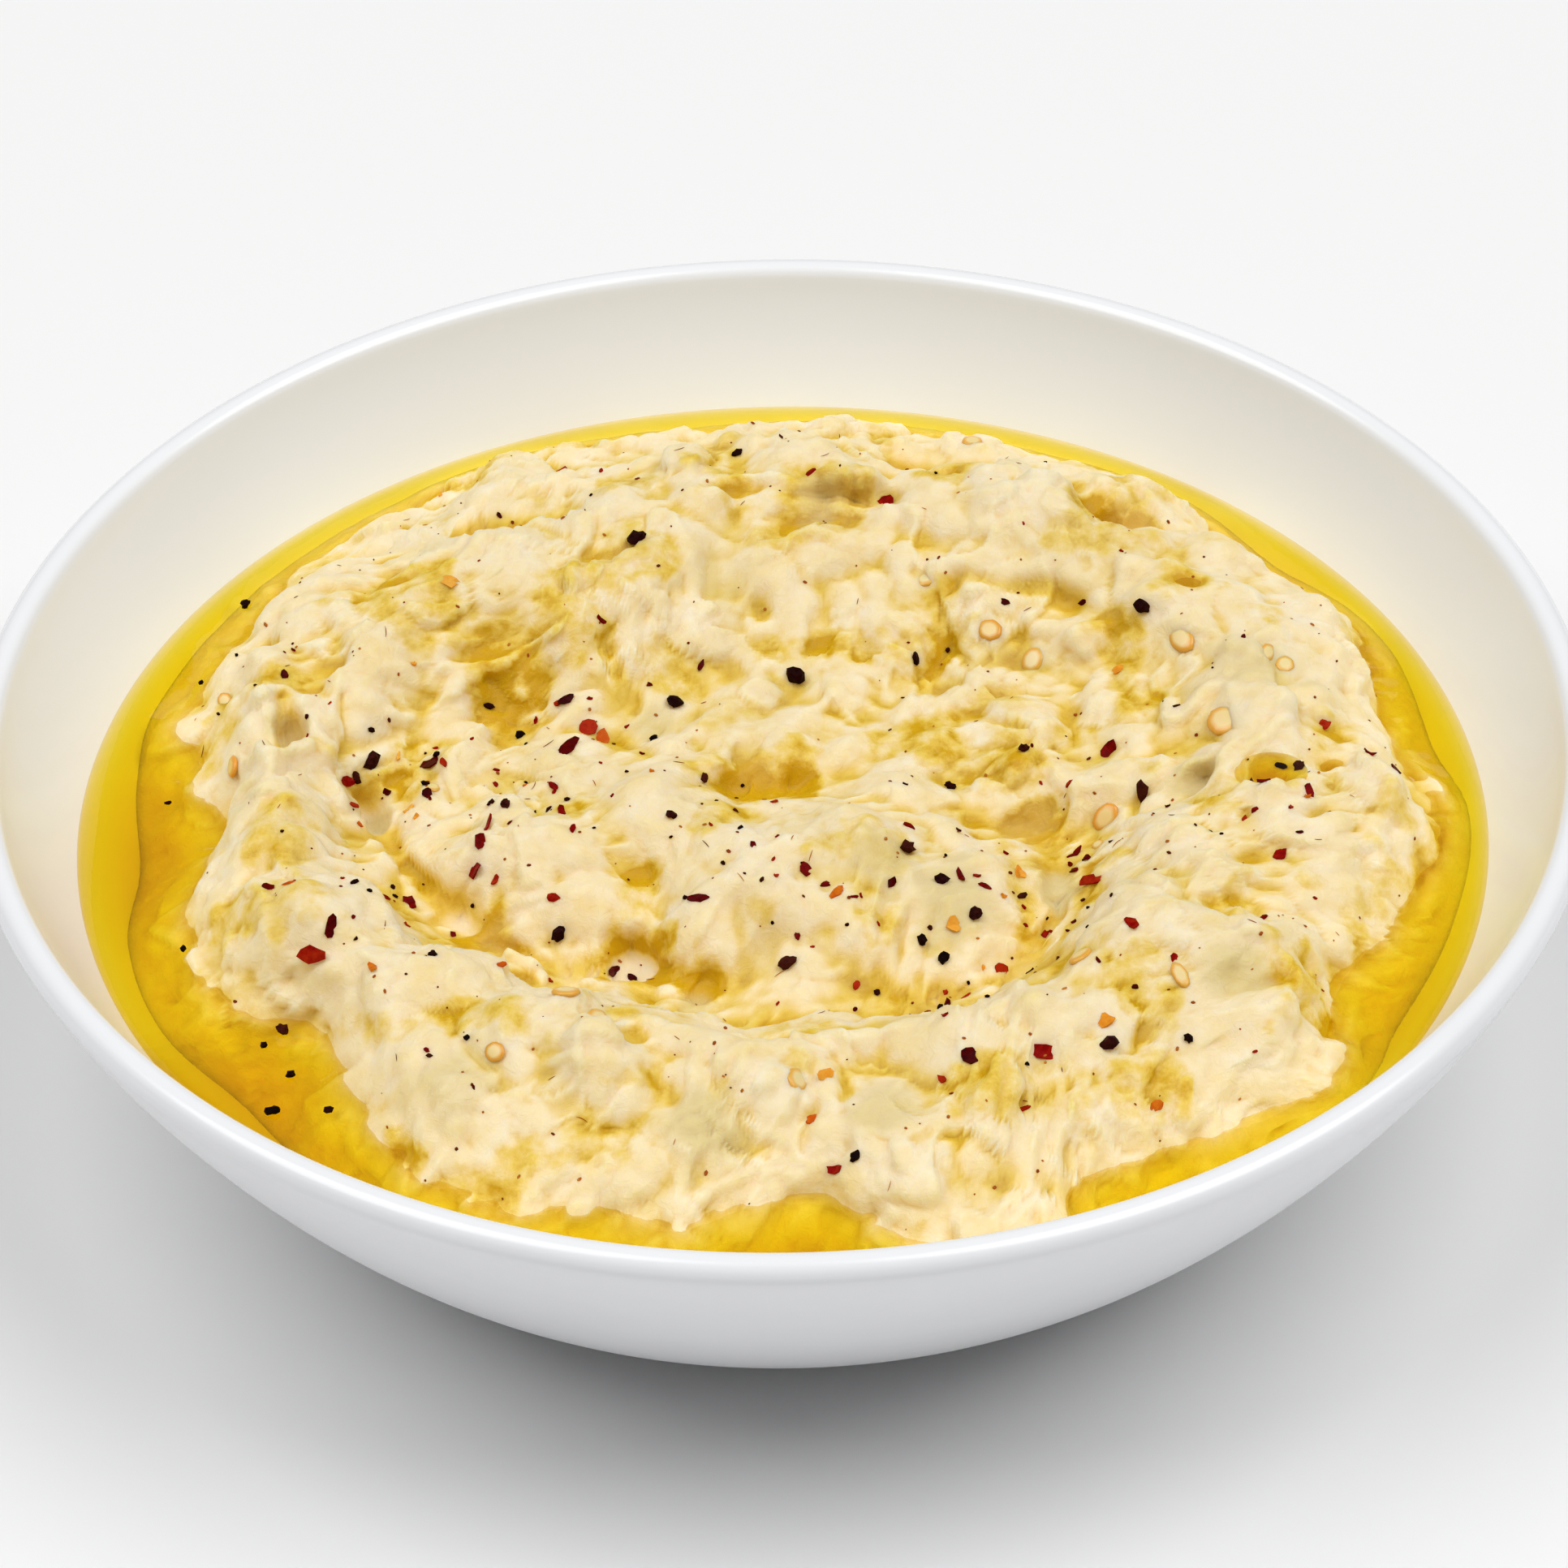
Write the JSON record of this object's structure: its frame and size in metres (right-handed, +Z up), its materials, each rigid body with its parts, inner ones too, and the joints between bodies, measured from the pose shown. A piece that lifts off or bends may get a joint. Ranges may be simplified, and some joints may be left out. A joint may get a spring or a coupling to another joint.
{
  "type": "bowl of baba ganoush",
  "caption": "Baba ganoush in a shallow round white bowl: spooned, swirled aubergine dip with olive oil standing round it.",
  "frame": {"origin": "bottom centre of the bowl's foot, on the surface it stands on", "axes": "+Z up, -Y towards the front, the side the eater sees; +X to the right"},
  "size_m": [0.1498, 0.1498, 0.0409],
  "materials": {
    "white_glaze": "gloss",
    "aubergine_mash": "satin",
    "olive_oil": "gloss"
  },
  "bodies": {
    "root": {"bowl": "white_glaze", "baba_ganoush": "aubergine_mash", "olive_oil": "olive_oil"}
  },
  "joints": []
}
